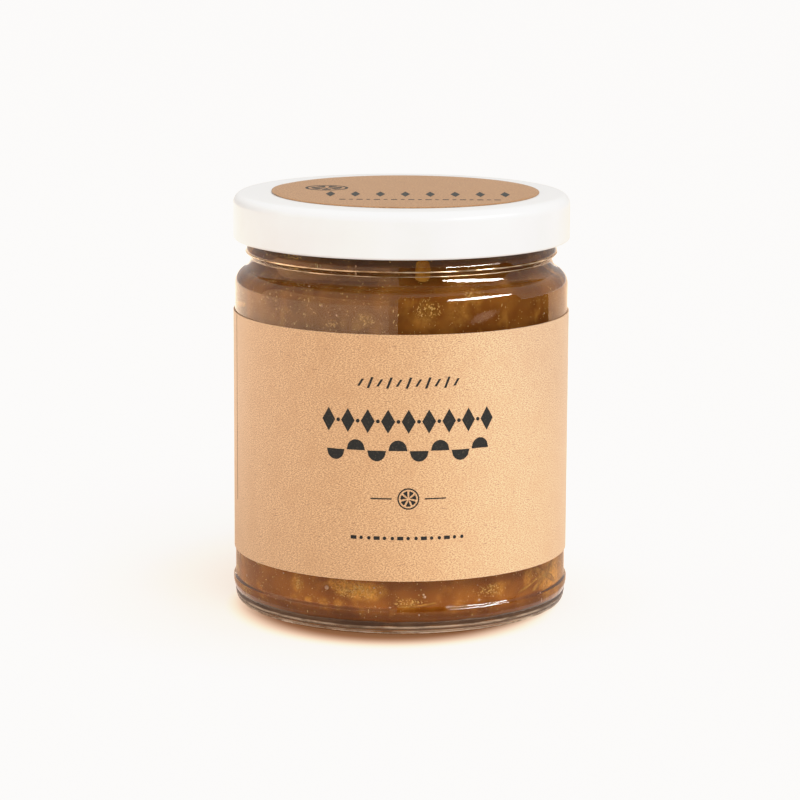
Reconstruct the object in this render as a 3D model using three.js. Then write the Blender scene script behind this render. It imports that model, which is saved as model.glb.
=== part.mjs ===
// A shut jar of marmalade: a straight-sided glass jar with a rounded shoulder and a heel ring, a white
// twist-off lid, a kraft paper label round the body, a round kraft paper sticker on the lid, and the marmalade
// inside. Millimetres, +Z up. The origin is the centre of the ring that the jar stands on, and the label's
// middle faces -Y.
import * as THREE from "three";

// Driving dimensions of the glass outside
const PANEL_RADIUS = 35.5; // the straight wall that carries the label
const HEEL_RING_RADIUS = 35.96; // the low ring that keeps the label off the next jar
const HEEL_RING_Z = [4.4, 5.4]; // where the heel ring is at its full radius
const HEEL_RING_TOP = 6.3; // where the ring has run out into the panel
const HEEL_RADIUS = 35.45;
const HEEL_TOP = 2.25; // the lower end of the ring's flank
const HEEL_CORNER_HEIGHT = 1.85;
const STAND_RING_RADII = [31.2, 32.7]; // the flat ring that touches the table
const PUSH_UP = 1.6; // how far the underside's middle is above the table
const SHOULDER_START = 68.9;
const SHOULDER_RADIUS = 3.4;
const SHOULDER_SWEEP = THREE.MathUtils.degToRad(70);
const NECK_HOLLOW = { startRadius: 32.5, startZ: 72.95, radius: 31.98, z: 74.5 }; // below the bead
// The rounded ring just below the lid: its widest place, its lower edge, its crown and where it runs out
const BEAD = { radius: 33.14, z: 75.85, low: 75.35, footInset: 0.19, high: 76.45, crownInset: 0.09, end: 78.6 };
const FINISH_RADIUS = 32.0; // the neck's outside under the lid
const LIP_TOP = 87.2;
const LIP_ROUND = 1.0;

// Thread ridges on the neck, one for each lug of the lid. span and taper are in degrees round the neck.
const LUGS = 4;
const RIDGE = { height: 1.3, z: 81.6, halfHeight: 0.9, crest: 0.45, span: 66, taper: 12, rise: 1.2 };

// Glass inside
const INNER_RADIUS = 33.1;
const FLOOR_EDGE_Z = 3.0;
const FLOOR_DOME = 1.6; // how much higher the middle of the inner floor is
const INNER_CORNER = 3.0;
const INNER_SHOULDER = { z: 68.6, radius: 2.6, sweep: THREE.MathUtils.degToRad(63) };
const MOUTH_RADIUS = 29.4;
const MOUTH_START = 73.8;

// Marmalade
const CLEARANCE = 0.3; // between the marmalade's solid and the glass round it
const FILL_Z = 81.0;
const MENISCUS = { rise: 0.5, width: 2.2 };

// Lid
const LID_RADIUS = 35.8;
const LID_BOTTOM = 78.5;
const LID_TOP = 88.2;
const LID_CORNER = 2.2;
const LID_SHEET = 0.45;
const CURL_ROUND = 0.55; // radius of the rolled lower edge
const LUG = { reach: 1.5, span: 20, taper: 6 };

// Paper
const LABEL = { radius: 35.8, paper: 0.16, bottom: 11.87, top: 63.28, seam: 4.0 };
const STICKER = { radius: 28.4, paper: 0.15, lift: 0.04, offsetX: 0.8 };

// Fineness
const SIDES = 60; // of every turned piece
const ARC_STEPS = 5; // of a large round in a profile
const SMALL_ARC_STEPS = 3;
const CURL_STEPS = 6;

const QUARTER = Math.PI / 2;
const TURN = Math.PI * 2;

const point = (radius, z) => new THREE.Vector2(radius, z);

// Points along an arc about (cx, cz) from angle a0 to a1, in radians.
function arc(cx, cz, radius, a0, a1, steps = ARC_STEPS) {
  return Array.from({ length: steps + 1 }, (_, i) => {
    const a = a0 + ((a1 - a0) * i) / steps;
    return point(cx + radius * Math.cos(a), cz + radius * Math.sin(a));
  });
}

// Points of a quarter ellipse that leaves (r0, z0) level and arrives at (r1, z1) upright.
function heelCorner(r0, z0, r1, z1) {
  return arc(0, 0, 1, -QUARTER, 0).map((p) => point(r0 + (r1 - r0) * p.x, z1 + (z1 - z0) * p.y));
}

// A soft step from (r0, z0) to (r1, z1) with both ends upright.
function softStep(r0, z0, r1, z1, steps = 4) {
  return Array.from({ length: steps + 1 }, (_, i) => {
    const t = i / steps;
    return point(r0 + (r1 - r0) * THREE.MathUtils.smoothstep(t, 0, 1), z0 + (z1 - z0) * t);
  });
}

// A solid turned about +Z from a profile of (radius, height) points that runs up the outside.
function turned(profile) {
  return new THREE.LatheGeometry(profile, SIDES).rotateX(QUARTER);
}

// How far an angle round the neck is into one of the LUGS equal places: share is 1 inside and 0 outside, with
// soft ends, and along runs from -1 to 1 over the place.
function lugPlace(angle, spanDegrees, taperDegrees) {
  const fromMiddle = THREE.MathUtils.euclideanModulo(angle, TURN / LUGS) - TURN / LUGS / 2;
  const half = THREE.MathUtils.degToRad(spanDegrees) / 2;
  const taper = THREE.MathUtils.degToRad(taperDegrees);
  const share = 1 - THREE.MathUtils.smoothstep(Math.abs(fromMiddle), half - taper, half);
  return { share, along: THREE.MathUtils.clamp(fromMiddle / half, -1, 1) };
}

// Moves each vertex of a turned geometry by the change of radius and of height that move(radius, z, angle)
// gives.
function reshape(geometry, move) {
  const position = geometry.attributes.position;
  for (let i = 0; i < position.count; i++) {
    const [x, y, z] = [position.getX(i), position.getY(i), position.getZ(i)];
    const radius = Math.hypot(x, y);
    const { dr, dz } = move(radius, z, Math.atan2(y, x));
    if (dr || dz) {
      const scale = (radius + dr) / radius;
      position.setXYZ(i, x * scale, y * scale, z + dz);
    }
  }
  geometry.computeVertexNormals();
  return geometry;
}

// The underside: a shallow push-up inside the ring that the jar stands on.
function underside() {
  const [ringIn] = STAND_RING_RADII;
  return [
    point(0, PUSH_UP),
    point(ringIn * 0.55, PUSH_UP * 0.9),
    point(ringIn * 0.92, PUSH_UP * 0.5),
    point(ringIn, 0),
  ];
}

function neckRings() {
  return [
    point(NECK_HOLLOW.startRadius, NECK_HOLLOW.startZ),
    point(NECK_HOLLOW.radius, NECK_HOLLOW.z),
    point(BEAD.radius - BEAD.footInset, BEAD.low),
    point(BEAD.radius, BEAD.z),
    point(BEAD.radius - BEAD.crownInset, BEAD.high),
    point(FINISH_RADIUS, BEAD.end),
  ];
}

function glassOutside() {
  return [
    ...underside(),
    ...heelCorner(STAND_RING_RADII[1], 0, HEEL_RADIUS, HEEL_CORNER_HEIGHT),
    ...softStep(HEEL_RADIUS, HEEL_TOP, HEEL_RING_RADIUS, HEEL_RING_Z[0]),
    ...softStep(HEEL_RING_RADIUS, HEEL_RING_Z[1], PANEL_RADIUS, HEEL_RING_TOP),
    ...arc(PANEL_RADIUS - SHOULDER_RADIUS, SHOULDER_START, SHOULDER_RADIUS, 0, SHOULDER_SWEEP),
    ...neckRings(),
    ...[-1, -RIDGE.crest, RIDGE.crest, 1].map((t) => point(FINISH_RADIUS, RIDGE.z + t * RIDGE.halfHeight)),
    ...arc(FINISH_RADIUS - LIP_ROUND, LIP_TOP - LIP_ROUND, LIP_ROUND, 0, QUARTER, SMALL_ARC_STEPS),
  ];
}

// The glass's inside from the mouth down to the middle of the floor. inset moves it into the space it holds.
function glassInside(inset = 0) {
  const wall = INNER_RADIUS - inset;
  const floorZ = FLOOR_EDGE_Z + inset;
  return [
    point(MOUTH_RADIUS - inset, MOUTH_START),
    ...arc(wall - INNER_SHOULDER.radius, INNER_SHOULDER.z, INNER_SHOULDER.radius, INNER_SHOULDER.sweep, 0),
    ...arc(wall - INNER_CORNER, floorZ + INNER_CORNER, INNER_CORNER, 0, -QUARTER),
    point(wall * 0.45, floorZ + FLOOR_DOME * 0.75),
    point(0, floorZ + FLOOR_DOME),
  ];
}

function glassGeometry() {
  const innerLip = arc(
    MOUTH_RADIUS + LIP_ROUND, LIP_TOP - LIP_ROUND, LIP_ROUND, QUARTER, Math.PI, SMALL_ARC_STEPS,
  );
  const geometry = turned([...glassOutside(), ...innerLip, ...glassInside()]);
  return reshape(geometry, (radius, z, angle) => {
    const outside = radius > (FINISH_RADIUS + MOUTH_RADIUS) / 2;
    const height = Math.abs(z - RIDGE.z) / RIDGE.halfHeight;
    if (!outside || height > 1.001) return { dr: 0, dz: 0 };
    const { share, along } = lugPlace(angle, RIDGE.span, RIDGE.taper);
    const crest = height < (1 + RIDGE.crest) / 2 ? 1 : 0;
    return { dr: RIDGE.height * crest * share, dz: (RIDGE.rise / 2) * along * share };
  });
}

function marmaladeGeometry() {
  const edge = MOUTH_RADIUS - CLEARANCE;
  return turned([
    ...glassInside(CLEARANCE).reverse(),
    point(edge, FILL_Z + MENISCUS.rise),
    point(edge - MENISCUS.width, FILL_Z),
    point(0, FILL_Z),
  ]);
}

// The lid: one pressed sheet with a rolled lower edge, which is pressed in to make the lugs.
function lidGeometry() {
  const innerRadius = LID_RADIUS - LID_SHEET;
  const innerTop = LID_TOP - LID_SHEET;
  const innerCorner = LID_CORNER - LID_SHEET;
  const curlX = LID_RADIUS - CURL_ROUND;
  const curlZ = LID_BOTTOM + CURL_ROUND;
  const curlInside = curlX - CURL_ROUND;
  const geometry = turned([
    point(0, innerTop),
    ...arc(innerRadius - innerCorner, innerTop - innerCorner, innerCorner, QUARTER, 0, SMALL_ARC_STEPS),
    point(innerRadius, curlZ + 1.6 * CURL_ROUND),
    point(curlInside, curlZ + CURL_ROUND),
    ...arc(curlX, curlZ, CURL_ROUND, Math.PI, TURN, CURL_STEPS),
    ...arc(LID_RADIUS - LID_CORNER, LID_TOP - LID_CORNER, LID_CORNER, 0, QUARTER),
    point(0, LID_TOP),
  ]);
  return reshape(geometry, (radius, z, angle) => {
    const onCurl = z < curlZ + 1.1 * CURL_ROUND && radius < curlInside + 0.2 * CURL_ROUND;
    const { share } = lugPlace(angle, LUG.span, LUG.taper);
    return { dr: onCurl ? -LUG.reach * share : 0, dz: 0 };
  });
}

// The label: one strip of paper round the glass, whose two ends nearly meet at the back.
function labelGeometry() {
  const halfSeam = LABEL.seam / 2 / LABEL.radius;
  const start = QUARTER + halfSeam;
  const end = QUARTER + TURN - halfSeam;
  const outline = new THREE.Shape();
  outline.absarc(0, 0, LABEL.radius, start, end, false);
  outline.absarc(0, 0, LABEL.radius - LABEL.paper, end, start, true);
  return new THREE.ExtrudeGeometry(outline, {
    depth: LABEL.top - LABEL.bottom,
    bevelEnabled: false,
    curveSegments: SIDES / 2,
  });
}

function stickerGeometry() {
  return new THREE.CylinderGeometry(STICKER.radius, STICKER.radius, STICKER.paper, SIDES).rotateX(QUARTER);
}

function piece(name, geometry, finish) {
  const mesh = new THREE.Mesh(geometry, new THREE.MeshStandardMaterial(finish));
  mesh.name = name;
  return mesh;
}

const clearGlass = { color: 0xe9e4d8, roughness: 0.05, metalness: 0, transparent: true, opacity: 0.35 };
const amberJelly = { color: 0xa4602a, roughness: 0.3, metalness: 0 };
const whiteEnamel = { color: 0xf4f2ee, roughness: 0.2, metalness: 0 };
const kraftPaper = { color: 0xd9ae80, roughness: 0.85, metalness: 0 };

const label = piece("label", labelGeometry(), kraftPaper);
label.position.z = LABEL.bottom;
const sticker = piece("lid_sticker", stickerGeometry(), kraftPaper);
sticker.position.set(STICKER.offsetX, 0, LID_TOP + STICKER.lift + STICKER.paper / 2);

const group = new THREE.Group();
group.add(
  piece("glass_jar", glassGeometry(), clearGlass),
  piece("marmalade", marmaladeGeometry(), amberJelly),
  piece("lid", lidGeometry(), whiteEnamel),
  label,
  sticker,
);

export default group;
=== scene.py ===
"""A shut jar of marmalade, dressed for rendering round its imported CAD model.

Sizes are in millimetres and angles in degrees until the last step of each builder, which writes metres. The
jar's axis is +Z, its foot is at z = 0 and its label faces -Y. A bearing is an angle round the jar from the
front, growing towards +X.
"""

import random
from math import cos, degrees, pi, radians, sin, sqrt

import bmesh
import bpy
import numpy as np
from mathutils import Matrix, Vector, noise

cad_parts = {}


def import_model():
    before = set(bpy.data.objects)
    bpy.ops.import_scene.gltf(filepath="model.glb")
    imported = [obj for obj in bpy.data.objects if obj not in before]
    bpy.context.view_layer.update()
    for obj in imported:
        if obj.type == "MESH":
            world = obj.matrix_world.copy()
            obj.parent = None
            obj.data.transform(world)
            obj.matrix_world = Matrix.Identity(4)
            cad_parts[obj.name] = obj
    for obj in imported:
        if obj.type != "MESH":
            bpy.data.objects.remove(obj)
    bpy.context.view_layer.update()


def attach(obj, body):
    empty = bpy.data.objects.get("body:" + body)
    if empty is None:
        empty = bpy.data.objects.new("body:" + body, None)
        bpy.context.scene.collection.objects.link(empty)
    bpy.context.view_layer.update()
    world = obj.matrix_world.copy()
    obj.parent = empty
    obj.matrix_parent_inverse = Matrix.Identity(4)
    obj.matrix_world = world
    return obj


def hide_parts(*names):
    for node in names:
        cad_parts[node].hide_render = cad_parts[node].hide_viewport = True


MM = 0.001

# The glass outside, as in the CAD model
PANEL_RADIUS = 35.5
HEEL_RING_RADIUS = 35.96
HEEL_RING_Z = (4.4, 5.4)
HEEL_RING_TOP = 6.3
HEEL_RADIUS = 35.45
HEEL_TOP = 2.25
HEEL_CORNER_HEIGHT = 1.85
STAND_RING_RADII = (31.2, 32.7)
PUSH_UP = 1.6
# The push-up's slope: shares of its radius and of its height
PUSH_UP_SLOPE = [(0.55, 0.9), (0.92, 0.5)]
# Rings this far from the panel's ends keep its shading level
PANEL_SUPPORT = 0.3
SHOULDER_START = 68.9
SHOULDER_RADIUS = 3.4
SHOULDER_SWEEP = 70
FINISH_RADIUS = 32.0
# The neck up to the finish, as (radius, z): a hollow, then the rounded bead
NECK = [
    (32.5, 72.95), (32.06, 74.1), (31.98, 74.5), (32.3, 74.8), (32.95, 75.35), (33.14, 75.85),
    (33.05, 76.45), (FINISH_RADIUS, 78.6),
]
LIP_TOP = 87.2
LIP_ROUND = 1.0
LUGS = 4
RIDGE_HEIGHT = 1.3
RIDGE_Z = 81.6
RIDGE_HALF_HEIGHT = 0.9
RIDGE_CREST = 0.45
RIDGE_SPAN = 66
RIDGE_TAPER = 12
RIDGE_RISE = 1.2
RIDGE_ROWS = 11
# How far the corners are rounded: under the foot, at the neck and inside
UNDERSIDE_EASE = 0.5
NECK_EASE = 0.4
INSIDE_EASE = 0.6

# Thin rings round the neck and the foot, coloured as painted highlights and shade: radius, z and half their
# height, then their section as places outward in millimetres and up in shares of that half
NECK_PAINTED_HIGHLIGHTS = [(33.16, 75.72, 0.12), (32.12, 74.62, 0.10)]
FOOT_PAINTED_LIGHT_AND_SHADE = [
    (35.57, 2.78, 0.50), (35.47, 2.05, 0.20), (35.43, 1.65, 0.18), (35.30, 1.25, 0.16), (35.02, 0.86, 0.15),
]
LINE_SECTION = [(0.035, -0.2), (-0.01, 1), (-0.09, 0), (-0.01, -1)]
LINE_WANDER = 0.05
LINE_SWELL = 0.5
# The foot's lines are painted shade above the first height and about the second, and the brightest painted
# highlight below the third
FOOT_SHADOW_Z = 2.27
FOOT_GAP_Z = 1.58
FOOT_GLEAM_Z = 1.05

# The glass inside
INNER_RADIUS = 33.1
FLOOR_EDGE_Z = 3.0
FLOOR_DOME = 1.6
# A point on the dome: its share of the radius and of the dome's height
FLOOR_SLOPE = (0.45, 0.75)
INNER_CORNER = 3.0
INNER_SHOULDER_Z = 68.6
INNER_SHOULDER_RADIUS = 2.6
INNER_SHOULDER_SWEEP = 63
MOUTH_RADIUS = 29.4
MOUTH_START = 73.8

# The marmalade reaches just into the wall, so that no gap shows
REACH = 0.1
FILL_Z = 81.0
MENISCUS_RISE = 0.5
MENISCUS_WIDTH = 2.2

# The lid
LID_RADIUS = 35.8
LID_BOTTOM = 78.5
LID_TOP = 88.2
LID_CORNER = 2.2
LID_SHEET = 0.45
CURL_ROUND = 0.55
# Where the sheet meets the curl, and how much about the curl the lugs move, in curl radii
CURL_JOIN = 1.6
CURL_LUG_ACROSS = 0.2
CURL_LUG_UP = 1.1
LUG_REACH = 1.5
LUG_SPAN = 20
LUG_TAPER = 6

# The paper
LABEL_RADIUS = 35.8
LABEL_INNER = 35.53
LABEL_Z = (11.87, 63.28)
LABEL_SEAM = 4.0
LABEL_EDGE = 0.03
LABEL_ROWS = 24
STICKER_RADIUS = 28.4
STICKER_PAPER = 0.15
STICKER_LIFT = 0.04
STICKER_EDGE = 0.03
STICKER_X = 0.8
STICKER_RINGS = [0, 6, 12, 18, 22, 24, 25.5, 27, STICKER_RADIUS - 0.05]
# The sticker's left tip has come up: how far, and from how far left of its middle
TIP_LIFT = 0.15
TIP_START = 24.5
STICKER_TOP = LID_TOP + STICKER_LIFT + STICKER_PAPER
INK_LIFT = 0.025

# Fineness
SIDES = 288
ARC_STEPS = 14

# The camera, fitted to the photograph
CAMERA_AT = (-0.15, -669.9, 169.3)
CAMERA_TILT = 10.662
CAMERA_ROLL = 0.256
CAMERA_LENS = 142.72
SENSOR = 36.0

# The light
KEY_ENERGY = 2.7
WORLD_STRENGTH = 0.6
FLOOR_REACH = 4000
FLOOR_ALBEDO = 0.28
FLOOR_GLOW = 0.90
FLOOR_TINT = (1.0, 0.905, 0.83)
# The shade that the jar throws on the table: its middle, and for each channel where it starts and ends,
# and how deep it is
SHADE_MIDDLE = (-2.0, -7.0, 0.0)
SHADE_SQUEEZE = 1.08
SHADE = [(28.0, 37.0, 0.25), (28.2, 38.0, 0.135), (28.2, 39.2, 0.07)]
# The wide warm glow about it, and how deep that is in each channel
GLOW_MIDDLE = (-12.0, 0.0, 0.0)
GLOW_SPAN = (25.0, 78.0)
GLOW = [0.93, 0.85, 0.81]
UNDER_JAR = (0.95, 1.0, 1.0)
# The patch of light that the wall mirrors at the right: its bearing and radius, their reach, and its slant
SMUDGE_AT = (56.0, 438.0)
SMUDGE_SIZE = (12.0, 13.0)
SMUDGE_SLANT = 40.0
SMUDGE_CARD = (38, 76, 405, 475)
# The middle of the jar, which the lamps aim at from afar
MIDDLE_Z = 44
LAMP_DISTANCE = 1000
# Heights of the cards, and the radii between which they lie
DARK_Z = 0.5
PALE_Z = 0.4
SMUDGE_Z = 0.9
CARD_RADII = (41, 165, 1500)
DARK_WALL_TOP = 2100
WARM_WALL_TOP = 1100
# The camera's soft shoulder: scene light and how bright it shows
TONE_TOP = 1.6
TONES = [(0.0, 0.0), (0.4, 0.4), (0.8, 0.8), (0.93, 0.90), (1.06, 0.945), (1.2, 0.965), (1.6, 1.0)]

random.seed(11)
uniform = random.uniform


def smoothstep(low, high, value):
    t = min(max((value - low) / (high - low), 0.0), 1.0)
    return t * t * (3 - 2 * t)


def arc(cx, cz, radius, start, end, steps=ARC_STEPS):
    """(radius, z) points along an arc about (cx, cz), its angles counted up from level."""
    angles = np.radians(np.linspace(start, end, steps + 1))
    return [(cx + radius * cos(a), cz + radius * sin(a)) for a in angles]


def soft_step(r0, z0, r1, z1, steps=8):
    """Points of a soft step from (r0, z0) to (r1, z1) with both ends upright."""
    shares = np.linspace(0, 1, steps + 1)
    return [(r0 + (r1 - r0) * smoothstep(0, 1, t), z0 + (z1 - z0) * t) for t in shares]


def rounded(points, size, steps=5):
    """The same line with each corner eased over up to size millimetres on both sides."""
    line = [Vector(p) for p in points]
    out = [line[0]]
    for before, corner, after in zip(line, line[1:], line[2:]):
        into = (before - corner) * min(0.45, size / max((before - corner).length, 1e-6))
        away = (after - corner) * min(0.45, size / max((after - corner).length, 1e-6))
        for i in range(steps + 1):
            t = i / steps
            out.append(corner + into * (1 - t) ** 2 + away * t ** 2)
    out.append(line[-1])
    return [tuple(p) for p in out]


def add_object(name, data):
    """A new object in the scene."""
    thing = bpy.data.objects.new(name, data)
    bpy.context.scene.collection.objects.link(thing)
    return thing


def mesh_piece(name, vertices, faces, smooth_below=40):
    """A mesh from vertices in millimetres, smooth except where its faces meet sharply."""
    mesh = bpy.data.meshes.new(name)
    mesh.from_pydata([tuple(np.array(v) * MM) for v in vertices], [], faces)
    mesh.validate()
    mesh.shade_smooth()
    mesh.set_sharp_from_angle(angle=radians(smooth_below))
    return add_object(name, mesh)


def lathe(name, profile, move=None, smooth_below=40, centre_x=0.0):
    """A closed piece turned about an upright axis, where its profile starts, runs up outside and ends."""
    angles = np.linspace(0, 2 * pi, SIDES, endpoint=False)
    vertices, rings = [], []
    for radius, z in profile:
        if radius < 1e-6:
            rings.append([len(vertices)] * SIDES)
            vertices.append((centre_x, 0, z))
            continue
        rings.append(range(len(vertices), len(vertices) + SIDES))
        for angle in angles:
            dr, dz = move(radius, z, angle) if move else (0, 0)
            out = radius + dr
            vertices.append((centre_x + out * cos(angle), out * sin(angle), z + dz))
    faces = []
    for low, high in zip(rings, rings[1:]):
        for i in range(SIDES):
            j = (i + 1) % SIDES
            corners = [low[i], low[j], high[j], high[i]]
            faces.append(tuple(dict.fromkeys(corners)))
    return mesh_piece(name, vertices, faces, smooth_below)


def strip_faces(steps, count):
    """The faces of a closed section of count points that is swept in steps."""
    corners = [(0, 0), (1, 0), (1, 1), (0, 1)]
    return [
        tuple((i + di) * count + (j + dj) % count for di, dj in corners)
        for i in range(steps) for j in range(count)
    ]


def lug_place(angle, span, taper):
    """How far an angle is into one of LUGS equal places round the neck: its share, and -1 to 1 along."""
    pitch = 360 / LUGS
    from_middle = degrees(angle) % pitch - pitch / 2
    half = span / 2
    share = 1 - smoothstep(half - taper, half, abs(from_middle))
    return share, min(max(from_middle / half, -1), 1)


def on_jar(bearing, radius, z):
    """The place at a bearing, a radius and a height."""
    angle = radians(bearing)
    return Vector((radius * sin(angle), -radius * cos(angle), z))


# Profiles

def underside():
    ring_in = STAND_RING_RADII[0]
    slope = [(ring_in * across, PUSH_UP * up) for across, up in PUSH_UP_SLOPE]
    return [(0, PUSH_UP), *slope, (ring_in, 0)]


def heel_corner():
    corner = arc(0, 0, 1, -90, 0)
    low, high = STAND_RING_RADII[1], HEEL_RADIUS
    return [(low + (high - low) * x, HEEL_CORNER_HEIGHT * (1 + z)) for x, z in corner]


def glass_inside(inset=0.0):
    """The glass's inside from the mouth down to the middle of the floor, moved in by inset."""
    wall = INNER_RADIUS - inset
    floor_z = FLOOR_EDGE_Z + inset
    shoulder = wall - INNER_SHOULDER_RADIUS
    return [
        (MOUTH_RADIUS - inset, MOUTH_START),
        *arc(shoulder, INNER_SHOULDER_Z, INNER_SHOULDER_RADIUS, INNER_SHOULDER_SWEEP, 0),
        *arc(wall - INNER_CORNER, floor_z + INNER_CORNER, INNER_CORNER, 0, -90),
        (wall * FLOOR_SLOPE[0], floor_z + FLOOR_DOME * FLOOR_SLOPE[1]),
        (0, floor_z + FLOOR_DOME),
    ]


def build_glass():
    ridge_rows = [(FINISH_RADIUS, RIDGE_Z + t * RIDGE_HALF_HEIGHT) for t in np.linspace(-1, 1, RIDGE_ROWS)]
    outside = [
        *rounded(underside(), UNDERSIDE_EASE),
        *heel_corner(),
        *soft_step(HEEL_RADIUS, HEEL_TOP, HEEL_RING_RADIUS, HEEL_RING_Z[0]),
        *soft_step(HEEL_RING_RADIUS, HEEL_RING_Z[1], PANEL_RADIUS, HEEL_RING_TOP),
        (PANEL_RADIUS, HEEL_RING_TOP + PANEL_SUPPORT), (PANEL_RADIUS, SHOULDER_START - PANEL_SUPPORT),
        *arc(PANEL_RADIUS - SHOULDER_RADIUS, SHOULDER_START, SHOULDER_RADIUS, 0, SHOULDER_SWEEP),
        *rounded(NECK, NECK_EASE),
        *ridge_rows,
        *arc(FINISH_RADIUS - LIP_ROUND, LIP_TOP - LIP_ROUND, LIP_ROUND, 0, 90),
        *arc(MOUTH_RADIUS + LIP_ROUND, LIP_TOP - LIP_ROUND, LIP_ROUND, 90, 180),
    ]

    def ridges(radius, z, angle):
        across = abs(z - RIDGE_Z) / RIDGE_HALF_HEIGHT
        if abs(radius - FINISH_RADIUS) > 0.01 or across > 1.001:
            return 0, 0
        share, along = lug_place(angle, RIDGE_SPAN, RIDGE_TAPER)
        crest = 1 - smoothstep(RIDGE_CREST, 1, across)
        return RIDGE_HEIGHT * crest * share, RIDGE_RISE / 2 * along * share

    inside = rounded(glass_inside(), INSIDE_EASE)
    return lathe("clear_glass_jar", [*outside, *inside], ridges, smooth_below=60)


def build_lines(name, lines):
    """Thin rings where the glass turns, which carry painted highlights and shade."""
    vertices, faces = [], []
    count = len(LINE_SECTION)
    for seed, (radius, z, half) in enumerate(lines):
        start = len(vertices)
        for i in range(SIDES):
            angle = 2 * pi * i / SIDES
            way = Vector((cos(angle) * 4, sin(angle) * 4, 7.0 * seed))
            drop = LINE_WANDER * noise.noise(way)
            tall = half * (1 + LINE_SWELL * noise.noise(way * 2.2))
            for dr, dz in LINE_SECTION:
                r = radius + dr
                vertices.append((r * cos(angle), r * sin(angle), z + drop + dz * tall))
        around = SIDES * count
        faces.extend(tuple(start + k % around for k in face) for face in strip_faces(SIDES, count))
    return mesh_piece(name, vertices, faces)


def build_marmalade():
    edge = MOUTH_RADIUS + REACH
    meniscus = [
        (edge - MENISCUS_WIDTH * t, FILL_Z + MENISCUS_RISE * (1 - t) ** 2) for t in np.linspace(0, 1, 8)
    ]
    profile = [*reversed(rounded(glass_inside(-REACH), INSIDE_EASE)), *meniscus, (0, FILL_Z)]
    return lathe("marmalade_jelly", profile, smooth_below=60)


def build_lid():
    inner_radius = LID_RADIUS - LID_SHEET
    inner_top = LID_TOP - LID_SHEET
    inner_corner = LID_CORNER - LID_SHEET
    curl_x = LID_RADIUS - CURL_ROUND
    curl_z = LID_BOTTOM + CURL_ROUND
    curl_inside = curl_x - CURL_ROUND
    profile = [
        (0, inner_top),
        *arc(inner_radius - inner_corner, inner_top - inner_corner, inner_corner, 90, 0),
        (inner_radius, curl_z + CURL_JOIN * CURL_ROUND),
        (curl_inside, curl_z + CURL_ROUND),
        *arc(curl_x, curl_z, CURL_ROUND, 180, 360),
        *arc(LID_RADIUS - LID_CORNER, LID_TOP - LID_CORNER, LID_CORNER, 0, 90),
        (0, LID_TOP),
    ]

    def lugs(radius, z, angle):
        low = z < curl_z + CURL_LUG_UP * CURL_ROUND
        on_curl = low and radius < curl_inside + CURL_LUG_ACROSS * CURL_ROUND
        share, _ = lug_place(angle, LUG_SPAN, LUG_TAPER)
        return (-LUG_REACH * share if on_curl else 0), 0

    return lathe("white_twist_lid", profile, lugs)


def build_label():
    half_seam = degrees(LABEL_SEAM / 2 / LABEL_RADIUS)
    bearings = np.linspace(-180 + half_seam, 180 - half_seam, SIDES + 1)
    low, high = LABEL_Z
    face_low, face_high = low + LABEL_EDGE, high - LABEL_EDGE
    section = [
        (LABEL_INNER, low), (LABEL_RADIUS - LABEL_EDGE, low),
        *[(LABEL_RADIUS, z) for z in np.linspace(face_low, face_high, LABEL_ROWS)],
        (LABEL_RADIUS - LABEL_EDGE, high), (LABEL_INNER, high),
    ]
    count = len(section)
    vertices = [on_jar(b, r, z) for b in bearings for r, z in section]
    faces = strip_faces(SIDES, count)
    last = SIDES * count
    faces.append(tuple(range(count - 1, -1, -1)))
    faces.append(tuple(range(last, last + count)))
    return mesh_piece("kraft_label", vertices, faces)


def build_sticker():
    """The round sticker, whose left tip has come up a little."""
    bottom = STICKER_TOP - STICKER_PAPER
    profile = [
        *[(r, bottom) for r in STICKER_RINGS],
        (STICKER_RADIUS, bottom + STICKER_EDGE), (STICKER_RADIUS, STICKER_TOP - STICKER_EDGE),
        *[(r, STICKER_TOP) for r in reversed(STICKER_RINGS)],
    ]

    def lifted_tip(radius, z, angle):
        return 0, TIP_LIFT * smoothstep(TIP_START, STICKER_RADIUS, -radius * cos(angle))

    return lathe("kraft_sticker", profile, lifted_tip, centre_x=STICKER_X)


# Printed shapes: flat shapes in (across, up) millimetres, wrapped on a surface and a hair proud of it

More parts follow.
